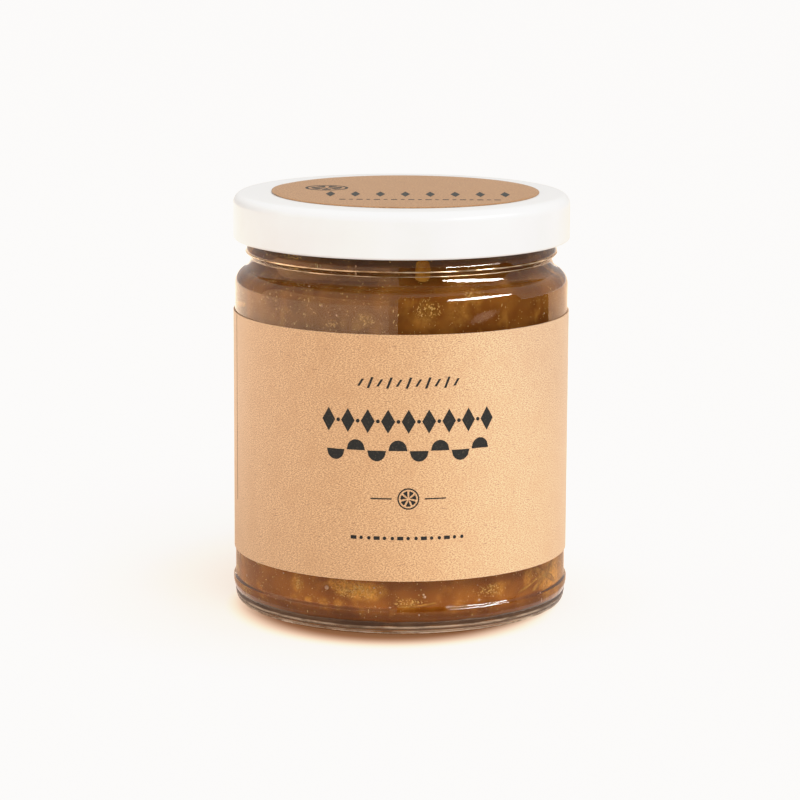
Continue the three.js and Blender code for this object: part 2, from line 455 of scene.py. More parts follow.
class Print:
    """Collects printed shapes for one piece. place(u, v, lift) gives a point on the printed surface."""

    def __init__(self, place):
        self.place, self.vertices, self.faces = place, [], []

    def ribbon(self, left, right, closed=False):
        """A thin solid between two lines of (u, v) points of one length."""
        start, count = len(self.vertices), len(left)
        for (lu, lv), (ru, rv) in zip(left, right):
            corners = [(lu, lv, INK_LIFT), (ru, rv, INK_LIFT), (ru, rv, -INK_LIFT), (lu, lv, -INK_LIFT)]
            self.vertices.extend(self.place(*corner) for corner in corners)
        steps = count if closed else count - 1
        for i in range(steps):
            a, b = start + 4 * i, start + 4 * ((i + 1) % count)
            for k in range(4):
                n = (k + 1) % 4
                self.faces.append((a + k, a + n, b + n, b + k))
        if not closed:
            end = start + 4 * (count - 1)
            self.faces.append((start + 3, start + 2, start + 1, start))
            self.faces.append((end, end + 1, end + 2, end + 3))

    def line(self, points, half_width):
        """A line of one width along (u, v) points, with level ends."""
        self.ribbon(*[[(u + side, v) for u, v in points] for side in (-half_width, half_width)])

    def shape(self, u0, v0, width, height, outline, steps=14):
        """A shape about (u0, v0). outline(t) gives its lower and upper edge in half heights."""
        low, high = [], []
        for t in np.linspace(-1, 1, steps + 1):
            bottom, top = outline(t)
            low.append((u0 + t * width / 2, v0 + bottom * height / 2))
            high.append((u0 + t * width / 2, v0 + top * height / 2))
        self.ribbon(high, low)

    def ring(self, u0, v0, radius, width, steps=48):
        angles = np.linspace(0, 2 * pi, steps, endpoint=False)
        inner, outer = [
            [(u0 + r * cos(a), v0 + r * sin(a)) for a in angles] for r in (radius - width, radius)
        ]
        self.ribbon(inner, outer, closed=True)

    def slice_wheel(self, u0, v0, radius, segments=7):
        """A slice of citrus: a rind ring with segments inside it, each blunt at both ends."""
        rind, core, reach = radius * 0.13, radius * 0.14, radius * 0.74
        fill, blunt_core, blunt_rim, rim_start = 0.80, 0.06, 0.72, 0.9
        self.ring(u0, v0, radius, rind)
        for i in range(segments):
            middle = 2 * pi * (i + 0.25) / segments
            half = pi / segments * fill
            edges = [], []
            for t in np.linspace(0, 1, 7):
                r = core + (reach - core) * t
                spread = half * sqrt(max(t, blunt_core)) * (1 if t < rim_start else blunt_rim)
                for edge, way in zip(edges, (middle - spread, middle + spread)):
                    edge.append((u0 + r * cos(way), v0 + r * sin(way)))
            self.ribbon(*edges)

    def piece(self, name):
        return mesh_piece(name, self.vertices, self.faces, smooth_below=30)


def lozenge(t):
    return -(1 - abs(t)), 1 - abs(t)


def disc(t):
    half = sqrt(max(1 - t * t, 0))
    return -half, half


def dome(t):
    return -1, 2 * disc(t)[1] - 1


def bowl(t):
    return 1 - 2 * disc(t)[1], 1


def bar(t):
    return -1, 1


def row(count, width):
    """Places of count things spread evenly over a width."""
    pitch = width / count
    return [-width / 2 + pitch * (i + 0.5) for i in range(count)]


def print_label():
    middle = 1.65  # how far the print's middle is right of the jar's, round the label
    strokes_z, lozenges_z, domes_z, slice_z, dots_z = 53.4, 45.4, 39.3, 29.3, 21.0
    stroke_half_width, slant = 0.26, 0.45
    lozenge_count, lozenge_pitch = 9, 4.2
    rule_bearing, rule_start, rule_half_width = -75.5, 23.2, 0.09

    def place(u, v, lift):
        return on_jar(degrees((middle + u) / LABEL_RADIUS), LABEL_RADIUS + lift, v)

    ink = Print(place)
    for i, u in enumerate(row(11, 21.8)):
        half = (2.3 if i % 2 else 1.5) / 2
        ink.line([(u - slant, strokes_z - half), (u + slant, strokes_z + half)], stroke_half_width)
    for i, u in enumerate(row(lozenge_count, lozenge_count * lozenge_pitch)):
        ink.shape(u, lozenges_z, 2.9, 5.0, lozenge)
        if i:
            ink.shape(u - lozenge_pitch / 2, lozenges_z, 0.8, 0.8, disc)
    for i, u in enumerate(row(8, 34.9)):
        ink.shape(u, domes_z + (1.1 if i % 2 else -1.1), 3.9, 2.2, dome if i % 2 else bowl)
    ink.slice_wheel(0, slice_z, 2.25)
    for u in (-5.6, 5.6):
        ink.shape(u, slice_z, 4.4, 0.28, bar, steps=6)
    for i, u in enumerate(row(15, 24.3)):
        ink.shape(u, dots_z, 0.75 if i % 3 else 1.25, 0.75, disc if i % 3 else bar, steps=10)
    rule = radians(rule_bearing) * LABEL_RADIUS - middle
    heights = np.linspace(rule_start, LABEL_Z[1] - 0.2, 12)
    ink.line([(rule, v) for v in heights], rule_half_width)
    return ink.piece("label_print")


def print_sticker():
    def place(u, v, lift):
        return (STICKER_X + u, v, STICKER_TOP + lift)

    ink = Print(place)
    ink.slice_wheel(-16.8, 4.6, 4.6)
    lozenges_x, lozenges_y, dots_x, dots_y = 2.6, -6.0, 3.0, -15.2
    for u in row(8, 42.0):
        ink.shape(u + lozenges_x, lozenges_y, 2.0, 8.6, lozenge)
    for i, u in enumerate(row(19, 34.0)):
        ink.shape(u + dots_x, dots_y, 0.9 if i % 2 else 1.3, 1.0, disc if i % 2 else bar, steps=8)
    return ink.piece("sticker_print")


# What shows in the jelly at the wall

WALL = sorted((z, r) for r, z in glass_inside(-REACH) if r > 20)


def wall_radius(z):
    """The jelly's radius at a height."""
    return float(np.interp(z, [p[0] for p in WALL], [p[1] for p in WALL]))


def wall_frame(bearing, z):
    """The wall's place at a bearing and a height, with its across, up and outward directions."""
    step = 0.15
    slope = (wall_radius(z + step) - wall_radius(z - step)) / (2 * step)
    angle = radians(bearing)
    across = Vector((cos(angle), sin(angle), 0))
    outward = Vector((sin(angle), -cos(angle), -slope)).normalized()
    return on_jar(bearing, wall_radius(z), z), across, outward.cross(across), outward


def ball(subdivisions):
    """The vertices and faces of a round ball of radius 1."""
    shape = bmesh.new()
    bmesh.ops.create_icosphere(shape, subdivisions=subdivisions, radius=1)
    shape.verts.ensure_lookup_table()
    vertices = np.array([v.co for v in shape.verts])
    faces = np.array([[v.index for v in f.verts] for f in shape.faces])
    shape.free()
    return vertices, faces


class Heap:
    """Joins many small closed shapes into one piece."""

    def __init__(self):
        self.vertices, self.faces, self.count = [], [], 0

    def add(self, vertices, faces):
        self.vertices.append(np.asarray(vertices, float))
        self.faces.extend((np.asarray(faces) + self.count).tolist())
        self.count += len(vertices)

    def piece(self, name):
        return mesh_piece(name, np.concatenate(self.vertices), self.faces, smooth_below=80)


ROUND_BALL = ball(2)
GRAIN_BALL = ball(1)


def blob(heap, bearing, z, wide, high, thick, proud, turn, rough, shape):
    """An uneven lump against the wall. proud is how far its face is beyond the jelly's."""
    centre, across, up, outward = wall_frame(bearing, z)
    vertices, faces = shape
    shift = Vector((uniform(-50, 50), uniform(-50, 50), uniform(-50, 50)))
    swell = np.array([1 + rough * noise.noise(Vector(v) * 1.7 + shift) for v in vertices])
    local = vertices * swell[:, None] * np.array([wide / 2, high / 2, thick / 2])
    c, s = cos(radians(turn)), sin(radians(turn))
    u = local[:, 0] * c - local[:, 1] * s
    v = local[:, 0] * s + local[:, 1] * c
    w = local[:, 2] - thick / 2 + proud
    bend = (u ** 2) / (2 * wall_radius(z))
    out = np.array(centre) + u[:, None] * np.array(across) + v[:, None] * np.array(up)
    heap.add(out + (w - bend)[:, None] * np.array(outward), faces)


def shred(heap, bearing, z, length, width, turn, curl, thick=0.9, proud=0.14):
    """A strip of peel lying along the wall, with uneven edges and rounded ends."""
    steps = max(10, int(length * 1.6))
    section = [(-1, 0), (-0.85, 0.8), (-0.3, 1), (0.3, 1), (0.85, 0.8), (1, 0), (0.7, -0.9), (-0.7, -0.9)]
    count = len(section)
    shift = uniform(0, 90)
    vertices = []
    heading = radians(turn)
    u = v = 0.0
    places = []
    for i in range(steps + 1):
        places.append((u, v, heading))
        heading += radians(curl) / steps
        u += cos(heading) * length / steps
        v += sin(heading) * length / steps
    mid_u, mid_v = places[steps // 2][:2]
    for i, (pu, pv, way) in enumerate(places):
        t = i / steps
        taper = sqrt(max(1 - abs(2 * t - 1) ** 4, 0.02))
        side = Vector((-sin(way), cos(way)))
        wobble = 1 + 0.18 * noise.noise(Vector((shift, t * 3.0, 0)))
        for a, b in section:
            uneven = 1 + 0.12 * noise.noise(Vector((shift + 9, t * 6.0, a * 2)))
            out = a * width / 2 * taper * wobble * uneven
            u, v = pu - mid_u + side.x * out, pv - mid_v + side.y * out
            centre, _, _, outward = wall_frame(bearing + degrees(u / wall_radius(z)), z + v)
            depth = proud - thick / 2 + b * thick / 2 * taper
            vertices.append(centre + outward * depth)
    faces = [f[::-1] for f in strip_faces(steps, count)]
    last = steps * count
    triangles = [(f[0], f[1], f[2]) for f in faces] + [(f[0], f[2], f[3]) for f in faces]
    triangles += [(0, j, j + 1) for j in range(1, count - 1)]
    triangles += [(last, last + j + 1, last + j) for j in range(1, count - 1)]
    heap.add([tuple(v) for v in vertices], triangles)


# Heights where the jelly shows: below the label, and between the label and the lid
LOW_BAND = (3.6, 12.2)
HIGH_BAND = (62.8, 77.5)
PULP_TOP = 79.0
# Above this height a place counts as in the high band
HIGH_START = 40
# How many are strewn, and how near the front there are only the clumps and shreds that the photograph shows
CLUMPS, SHREDS, FLECKS, FRONT_FLECKS, BUBBLES = 34, 46, 2300, 150, 60
GRAINS_A_SQUARE_MM = 5.5
FRONT_OF_CLUMPS = 60
FRONT_OF_SHREDS = 62


def anywhere():
    """A random bearing and height where the jelly shows."""
    kind = random.random()
    if kind < 0.42:
        return uniform(-180, 180), uniform(*LOW_BAND)
    if kind < 0.94:
        return uniform(-180, 180), uniform(*HIGH_BAND)
    return 180 + uniform(-5, 5), uniform(LOW_BAND[1], HIGH_BAND[0])


def build_pulp():
    """Golden clumps of broken juice sacs, each a patch of small grains."""
    heap = Heap()
    # bearing, z, width and height of the patches that the photograph shows, then others like them
    shown = [
        (-15.5, 9.1, 11.0, 4.2), (-38, 9.5, 3.0, 5.0), (9.5, 68.0, 6.5, 4.2), (-12.5, 66.0, 4.5, 3.0),
        (26, 70.3, 4.0, 2.2), (8, 75.0, 4.4, 4.6), (-47, 76.6, 8.0, 2.0), (33, 8.4, 9.0, 3.0),
        (2.5, 7.0, 8.0, 2.0), (-24, 64.8, 5.0, 2.2),
    ]
    others = [(*anywhere(), uniform(3, 8), uniform(2, 4.5)) for _ in range(CLUMPS)]
    others = [p for p in others if abs(p[0]) >= FRONT_OF_CLUMPS]
    for bearing, z, wide, high in shown + others:
        for _ in range(int(GRAINS_A_SQUARE_MM * wide * high)):
            spread = sqrt(random.random())
            way = uniform(0, 2 * pi)
            u = wide / 2 * spread * cos(way)
            v = high / 2 * spread * sin(way)
            size = uniform(0.25, 0.5)
            place = bearing + degrees(u / INNER_RADIUS), min(max(z + v, LOW_BAND[0]), PULP_TOP)
            tall = size * uniform(0.6, 1.5)
            proud = uniform(0.02, 0.16) * (1.15 - spread)
            blob(heap, *place, size, tall, size * 0.8, proud, uniform(0, 180), 0.3, GRAIN_BALL)
    return heap.piece("pulp_clumps")


def build_shreds():
    """Strips of peel. The first are those that the photograph shows."""
    heap = Heap()
    # bearing, z, length, width, turn and curl
    shown = [(8.2, 75.3, 5.2, 3.6, 84, 6), (5.5, 6.1, 9.5, 0.6, 3, 8), (52, 7.6, 8.5, 0.7, 14, 10)]
    for place in shown:
        shred(heap, *place)
    for _ in range(SHREDS):
        bearing, z = anywhere()
        if abs(bearing) < FRONT_OF_SHREDS:
            continue
        low_limit, high_limit = HIGH_BAND if z > HIGH_START else LOW_BAND
        turn = uniform(-35, 35)
        length = uniform(5, 13)
        reach = abs(sin(radians(turn))) * length / 2 + 1.2
        z = min(max(z, low_limit + reach), high_limit - reach)
        shred(heap, bearing, z, length, uniform(1.2, 2.4), turn, uniform(-60, 60))
    return heap.piece("peel_shreds")


def build_specks():
    """Fine flecks of pulp and zest all over the wall, and some more where the photograph shows them."""
    heap = Heap()
    front = [(uniform(-56, -4), uniform(63.4, 72.5)) for _ in range(FRONT_FLECKS)]
    for bearing, z in [anywhere() for _ in range(FLECKS)] + front:
        size = random.choice([0.10, 0.12, 0.14, 0.17, 0.23])
        long = z > HIGH_START and random.random() < 0.3
        tall = size * (uniform(1.5, 3.5) if long else uniform(0.7, 1.5))
        proud = uniform(0.03, 0.12)
        blob(heap, bearing, z, size, tall, size * 0.7, proud, uniform(-50, 50), 0.35, GRAIN_BALL)
    return heap.piece("pulp_flecks")


def build_bubbles():
    """Small air bubbles caught at the wall."""
    heap = Heap()
    shown = [(-26.5, 9.3, 1.25), (8.3, 8.6, 0.5)]
    others = [(*anywhere(), random.choice([0.25, 0.3, 0.4, 0.6])) for _ in range(BUBBLES)]
    for bearing, z, size in shown + others:
        blob(heap, bearing, z, size, size, size * 0.6, 0.16, 0, 0.05, ROUND_BALL)
    return heap.piece("air_bubbles")


# Materials

class Shader:
    """A material's node tree, with short ways to add and link nodes."""

    def __init__(self, name):
        self.material = bpy.data.materials.new(name)
        self.material.use_nodes = True
        self.tree = self.material.node_tree
        self.surface = self.tree.nodes["Principled BSDF"]
        self.output = self.tree.nodes["Material Output"]

    def add(self, kind, inputs=None, **settings):
        node = self.tree.nodes.new("ShaderNode" + kind)
        for name, value in settings.items():
            setattr(node, name, value)
        for name, value in (inputs or {}).items():
            self.give(node.inputs[name], value)
        return node

    def give(self, socket, value):
        if isinstance(value, bpy.types.NodeSocket):
            self.tree.links.new(value, socket)
        else:
            socket.default_value = value

    def set(self, **values):
        for name, value in values.items():
            self.give(self.surface.inputs[name.replace("_", " ")], value)

    def place(self, scale=(1, 1, 1), rotation=(0, 0, 0)):
        """The point in object space, in millimetres times scale."""
        coordinates = self.add("TexCoord").outputs["Object"]
        mapping = self.add("Mapping", {"Vector": coordinates})
        mapping.inputs["Scale"].default_value = [s / MM for s in scale]
        mapping.inputs["Rotation"].default_value = [radians(a) for a in rotation]
        return mapping.outputs["Vector"]

    def noise(self, vector, size, detail=3.0, roughness=0.55, distortion=0.0):
        """Noise with features about size millimetres across."""
        return self.add("TexNoise", {
            "Vector": vector, "Scale": 1 / size, "Detail": detail, "Roughness": roughness,
            "Distortion": distortion,
        }).outputs["Fac"]

    def cells(self, vector, size):
        """How far the nearest of scattered points is, with the points about size millimetres apart."""
        return self.add("TexVoronoi", {"Vector": vector, "Scale": 1 / size}).outputs["Distance"]

    def times(self, a, b):
        return self.maths("MULTIPLY", a, b)

    def split(self, vector):
        """The X, Y and Z of a vector."""
        return self.add("SeparateXYZ", {"Vector": vector}).outputs

    def distance(self, vector, point):
        """How far a vector is from a fixed point."""
        return self.add("VectorMath", {0: vector, 1: point}, operation="DISTANCE").outputs["Value"]

    def combine(self, red, green, blue):
        return self.add("CombineColor", {"Red": red, "Green": green, "Blue": blue}).outputs["Color"]

    def tint(self, colour, by):
        """A colour multiplied by another one."""
        return self.mix(1.0, colour, by, "MULTIPLY")

    def scale(self, colour, factor):
        """A colour made brighter or darker by a factor."""
        return self.tint(colour, self.combine(factor, factor, factor))

    def fit(self, value, low, high, to_low=0.0, to_high=1.0, smooth=True):
        """value, brought from low..high to to_low..to_high and held there."""
        return self.add("MapRange", {
            "Value": value, "From Min": low, "From Max": high, "To Min": to_low, "To Max": to_high,
        }, interpolation_type="SMOOTHSTEP" if smooth else "LINEAR").outputs["Result"]

    def maths(self, operation, a, b=0.0):
        return self.add("Math", {0: a, 1: b}, operation=operation).outputs["Value"]

    def mix(self, factor, a, b, blend="MIX"):
        """Colour a turned into colour b by a factor."""
        node = self.add("Mix", {"Factor": factor}, data_type="RGBA", blend_type=blend)
        for name, value in (("A", a), ("B", b)):
            socket = [s for s in node.inputs if s.name == name and s.type == "RGBA"][0]
            self.give(socket, (*value, 1) if isinstance(value, tuple) else value)
        return [s for s in node.outputs if s.type == "RGBA"][0]

    def bump(self, height, distance, strength):
        """Bump from a height of 0..1 that stands for distance millimetres."""
        node = self.add("Bump", {
            "Height": height, "Distance": distance * MM, "Strength": strength,
        })
        self.give(self.surface.inputs["Normal"], node.outputs["Normal"])


def glass_material():
    """Clear glass. Light from lamps and dull surfaces goes straight through it, and lights the jelly."""
    s = Shader("clear_glass")
    s.set(Base_Color=(0.985, 0.99, 0.98, 1), Roughness=0.0, IOR=1.5, Transmission_Weight=1.0)
    path = s.add("LightPath")
    straight = s.maths("MAXIMUM", path.outputs["Is Shadow Ray"], path.outputs["Is Diffuse Ray"])
    clear = s.add("BsdfTransparent", {"Color": (0.93, 0.93, 0.92, 1)})
    both = s.add("MixShader", {0: straight, 1: s.surface.outputs["BSDF"], 2: clear.outputs["BSDF"]})
    s.give(s.output.inputs["Surface"], both.outputs["Shader"])
    return s.material


# Soft golden clouds of pulp in the jelly: bearing, z, radius and share
CLOUDS = [
    (8.5, 67.4, 3.0, 0.4), (-13, 66.2, 2.4, 0.5), (27, 70.2, 2.2, 0.5), (-24, 10.4, 1.7, 0.8),
    (-20.5, 9.8, 2.3, 1.0), (-15.5, 9.2, 2.9, 1.0), (-10.5, 9.1, 2.8, 1.0), (-6.5, 9.4, 1.9, 0.8),
    (-39, 9.2, 2.2, 0.7), (3, 6.2, 2.6, 0.5), (-28, 5.9, 1.8, 0.6), (-34, 5.7, 1.4, 0.6),
    (-22, 5.8, 1.6, 0.5), (36, 8.2, 2.6, 0.4), (52, 9.6, 2.6, 0.5), (60, 8.5, 2.6, 0.5),
    (-15, 64.9, 1.8, 0.4), (70, 8.0, 8.0, 1.0), (20, 66.5, 3.5, 0.25),
]
# Clear dark places in the same way
HOLLOWS = [
    (50, 70.5, 6.5, 0.45), (-2, 68.0, 5.0, 0.35), (-40, 72.5, 4.0, 0.25), (-18, 69.5, 8.0, 0.45),
    (-34, 66.0, 7.0, 0.45),
]


def marmalade_material():
    """Amber jelly with clouds of golden pulp and dark clear places between them, painted lighter low down
    for the floor's glow, with painted shade at its bottom edge and a painted shadow of the lid in the neck.
    """
    s = Shader("amber_marmalade")
    deep, amber = (0.135, 0.043, 0.006), (0.215, 0.080, 0.013)
    honey, gold = (0.36, 0.155, 0.028), (0.45, 0.225, 0.045)
    clear, zest = (0.075, 0.024, 0.004), (0.62, 0.38, 0.13)
    # The last two are painted shade: for the jelly's bottom edge, and for the lid's shadow in the neck
    underside, neck = (0.060, 0.025, 0.009), (0.066, 0.050, 0.042)
    place = s.place()
    height = s.split(place)["Z"]
    cloud = s.noise(place, 8.0, 2, 0.5, 0.3)
    lump = s.noise(s.place((1, 1, 0.8)), 3.2, 3, 0.5, 0.2)
    granule = s.noise(place, 0.55, 3, 0.6, 0.1)
    waves = s.add("TexNoise", {"Vector": place, "Scale": 0.5, "Detail": 3.0}).outputs["Color"]
    warped = s.add("VectorMath", {0: place, 1: waves}, operation="ADD").outputs["Vector"]
    mean_wave = Vector((0.5, 0.5, 0.5))

    def near_any(places):
        most = 0.0
        for bearing, z, radius, share in places:
            apart = s.distance(warped, on_jar(bearing, INNER_RADIUS, z) + mean_wave)
            most = s.maths("MAXIMUM", s.fit(apart, radius, radius * 0.35, 0, share), most)
        return most

    colour = s.mix(s.fit(cloud, 0.34, 0.68), deep, amber)
    colour = s.mix(s.times(s.fit(lump, 0.52, 0.78), 0.55), colour, honey)
    patchy = s.times(near_any(CLOUDS), s.fit(lump, 0.30, 0.62, 0.45, 1.0))
    grainy = s.times(patchy, s.fit(granule, 0.36, 0.62, 0.35, 1.0))
    colour = s.mix(grainy, colour, gold)
    colour = s.mix(near_any(HOLLOWS), colour, clear)
    fleck = s.fit(s.cells(s.place((1, 1, 0.6), rotation=(20, 30, 10)), 1.3), 0.09, 0.04)
    colour = s.mix(s.times(fleck, 0.6), colour, zest)
    # Painted light: brighter and redder low down, for the glow from the floor below
    lift = s.combine(*[s.fit(height, 4.0, 30.0, low, 1.0) for low in (1.58, 1.37, 0.95)])
    colour = s.tint(colour, lift)
    # Painted shade: the jelly's bottom edge is darkened
    colour = s.mix(s.fit(height, 3.5, 3.1, 0.0, 0.7), colour, underside)
    # Painted shadow of the lid on the jelly in the neck
    colour = s.mix(s.times(s.fit(height, 75.4, 76.6), 0.6), colour, neck)
    s.set(
        Base_Color=colour, Roughness=0.6, Specular_IOR_Level=0.0, Subsurface_Weight=0.6,
        Subsurface_Radius=(1.0, 0.38, 0.12), Subsurface_Scale=2.2 * MM,
    )
    return s.material


def neck_line_material():
    """Painted highlights on the neck's rings: pale where the glass gathers light, and brown where it
    doesn't; the part-metal finish also reflects the surroundings.
    """
    s = Shader("neck_painted_highlight")
    along = s.noise(s.place((1, 1, 0.2)), 6.0, 4, 0.65)
    colour = s.mix(s.fit(along, 0.34, 0.62), (0.26, 0.165, 0.08), (0.80, 0.62, 0.42))
    s.set(Base_Color=colour, Roughness=0.22, Metallic=0.6)
    return s.material


def foot_line_material():
    """The foot's lines as painted light and shade: a painted shade line over pale painted highlights with a
    dark gap, the palest at the bottom, all broken.
    """
    s = Shader("foot_painted_light_shade")
    height = s.split(s.place())["Z"]
    # Painted highlights and painted shade, broken along the ring
    along = s.fit(s.noise(s.place((1, 1, 5)), 6.0, 4, 0.7), 0.36, 0.62)
    pale = s.mix(along, (0.155, 0.100, 0.062), (0.40, 0.30, 0.215))
    gleam = s.mix(along, (0.20, 0.135, 0.09), (0.72, 0.60, 0.48))
    pale = s.mix(s.fit(height, FOOT_GLEAM_Z - 0.05, FOOT_GLEAM_Z + 0.05), gleam, pale)
    from_gap = s.maths("ABSOLUTE", s.maths("SUBTRACT", height, FOOT_GAP_Z))
    pale = s.mix(s.fit(from_gap, 0.2, 0.28), (0.115, 0.072, 0.047), pale)
    shadow = s.mix(along, (0.050, 0.024, 0.013), (0.085, 0.045, 0.024))
    colour = s.mix(s.fit(height, FOOT_SHADOW_Z - 0.06, FOOT_SHADOW_Z + 0.06), pale, shadow)
    s.set(Base_Color=colour, Roughness=0.4, Specular_IOR_Level=0.2)
    return s.material


def pulp_material(name, pale, deep, specular, scatter=0.5, low_painted_light=1.0, high_painted_light=1.0):
    """Wet flesh or peel: two tones in grains, with painted light: a brightness for the lower band and one
    for the upper.
    """
    s = Shader(name)
    place = s.place()
    tone = s.noise(place, 1.6, 3, 0.6)
    grain = s.noise(place, 0.3, 2, 0.6)
    colour = s.mix(s.fit(tone, 0.35, 0.65), deep, pale)
    colour = s.mix(s.fit(grain, 0.55, 0.75, 0, 0.45), colour, tuple(min(1.0, c * 1.5) for c in pale))
    # Painted light: brighter or darker by height, from the lower band to the upper
    if low_painted_light != high_painted_light:
        colour = s.scale(colour, s.fit(s.split(place)["Z"], 12, 60, low_painted_light, high_painted_light))
    s.set(
        Base_Color=colour, Roughness=s.fit(grain, 0.3, 0.7, 0.35, 0.6), Specular_IOR_Level=specular,
        Subsurface_Weight=scatter, Subsurface_Radius=(1.0, 0.45, 0.15), Subsurface_Scale=0.8 * MM,
    )
    return s.material


def kraft_material(name, round_jar, tint=(1.0, 1.0, 1.0), specular=0.8):
    """Brown kraft paper: mottled pulp with short crossed fibres, dark shives and pale flecks; on the jar,
    with painted light and shade.
    """
    s = Shader(name)
    if round_jar:
        point = s.split(s.place())
        turn = s.maths("ARCTAN2", point["X"], s.times(point["Y"], -1.0))
        around = s.times(turn, LABEL_RADIUS)
        flat = s.add("CombineXYZ", {"X": around, "Y": point["Z"]}).outputs["Vector"]
        corner = s.maths("ADD", point["X"], s.times(point["Z"], 0.6))
        # Painted light and shade on the label: darker left of the middle, lighter at the far left edge,
        # darker towards the top and darker at the upper right corner
        painted_light_and_shade = s.fit(point["X"], -16, 14, 0.85, 1.035)
        painted_light_and_shade = s.times(painted_light_and_shade, s.fit(point["X"], -36, -16, 1.06, 1.0))
        painted_light_and_shade = s.times(painted_light_and_shade, s.fit(point["Z"], 20, 56, 1.02, 0.985))
        painted_light_and_shade = s.times(painted_light_and_shade, s.fit(corner, 50, 66, 1.0, 0.88))
    else:
        flat = s.place((1, 1, 0))

    def stretched(rotation, scale):
        mapping = s.add("Mapping", {"Vector": flat})
        mapping.inputs["Rotation"].default_value = (0, 0, radians(rotation))
        mapping.inputs["Scale"].default_value = scale
        return mapping.outputs["Vector"]

    def shade(r, g, b):
        return r * tint[0], g * tint[1], b * tint[2]

    cloud = s.noise(flat, 4.5, 3, 0.6)
    speck = s.noise(flat, 0.22, 1, 0.6)
    fibre_a = s.noise(stretched(24, (0.6, 1.4, 1)), 0.25, 1, 0.6)
    fibre_b = s.noise(stretched(-58, (0.6, 1.4, 1)), 0.25, 1, 0.6)
    fibres = s.times(s.maths("ADD", s.maths("ADD", fibre_a, fibre_b), speck), 1 / 3)
    brown, tan = shade(0.360, 0.182, 0.070), shade(0.780, 0.480, 0.242)
    colour = s.mix(s.fit(fibres, 0.42, 0.58, smooth=False), brown, tan)
    colour = s.mix(s.fit(cloud, 0.42, 0.68, 0, 0.35), colour, shade(0.500, 0.270, 0.114))
    shive = s.fit(s.cells(stretched(80, (0.4, 2.2, 1)), 2.3), 0.12, 0.05)
    colour = s.mix(s.times(shive, 0.7), colour, shade(0.25, 0.125, 0.050))
    fleck = s.fit(s.cells(stretched(10, (1, 1.5, 1)), 1.7), 0.10, 0.04)
    colour = s.mix(s.times(fleck, 0.6), colour, shade(0.86, 0.55, 0.29))
    # The label's painted light and shade
    if round_jar:
        colour = s.scale(colour, painted_light_and_shade)
    s.set(
        Base_Color=colour, Roughness=0.5, Specular_IOR_Level=specular, Sheen_Weight=0.15,
        Sheen_Roughness=0.5,
    )
    s.bump(fibres, 0.03, 0.35)
    return s.material


def ink_material(name, tone):
    """Matt ink that lets a little of the paper through."""
    s = Shader(name)
    thin = s.noise(s.place(), 0.35, 3, 0.65)
    dark = tuple(tone * c for c in (0.020, 0.021, 0.020))
    light = tuple(tone * c for c in (0.065, 0.053, 0.040))
    s.set(Base_Color=s.mix(s.fit(thin, 0.5, 0.78), dark, light), Roughness=0.7, Specular_IOR_Level=0.12)
    s.bump(thin, 0.02, 0.4)
    return s.material


def lid_material():
    """White enamel on pressed tin: glossy, with the faint unevenness of sprayed lacquer, painted shade that
    darkens it towards the left, and a painted lighter top.
    """
    s = Shader("white_enamel")
    place = s.place()
    point = s.split(place)
    # Painted shade: darker towards the left, mixed with the lacquer's random unevenness
    uneven = s.maths("ADD", s.fit(point["X"], -34, 30, smooth=False), s.noise(place, 9.0, 2, 0.5))
    colour = s.mix(s.fit(uneven, 0.4, 1.6, smooth=False), (0.665, 0.655, 0.645), (0.772, 0.770, 0.768))
    # Painted light: the top is lighter
    colour = s.mix(s.fit(point["Z"], LID_TOP - 1.5, LID_TOP), colour, (0.785, 0.780, 0.775))
    s.set(Base_Color=colour, Roughness=0.28, Specular_IOR_Level=0.5)
    return s.material


def floor_material():
    """A white table that glows a little, with the jar's warm shade and the amber light close by it."""
    s = Shader("pale_floor")
    shade_x, shade_y, shade_z = SHADE_MIDDLE
    from_shade = s.distance(s.place((SHADE_SQUEEZE, 1, 1)), (shade_x * SHADE_SQUEEZE, shade_y, shade_z))
    from_glow = s.distance(s.place(), GLOW_MIDDLE)
    channels = []
    for (start, end, deep), glow in zip(SHADE, GLOW):
        close = s.fit(from_shade, start, end, deep, 1.0)
        channels.append(s.times(close, s.fit(from_glow, *GLOW_SPAN, glow, 1.0)))
    foot = STAND_RING_RADII[1]
    beside_foot = s.fit(s.distance(s.place(), (0, 0, 0)), foot - 0.6, foot + 0.2)
    shade = s.mix(beside_foot, UNDER_JAR, s.combine(*channels))
    s.set(
        Base_Color=s.tint(shade, (FLOOR_ALBEDO,) * 3), Roughness=0.9, Specular_IOR_Level=0.0,
        Emission_Color=s.tint(shade, FLOOR_TINT), Emission_Strength=FLOOR_GLOW,
    )
    return s.material


def plain_material(name, colour, glow):
    s = Shader(name)
    s.set(Base_Color=(*colour, 1), Roughness=1.0, Specular_IOR_Level=0.0)
    if glow:
        s.set(Emission_Color=(*colour, 1), Emission_Strength=glow)
    return s.material


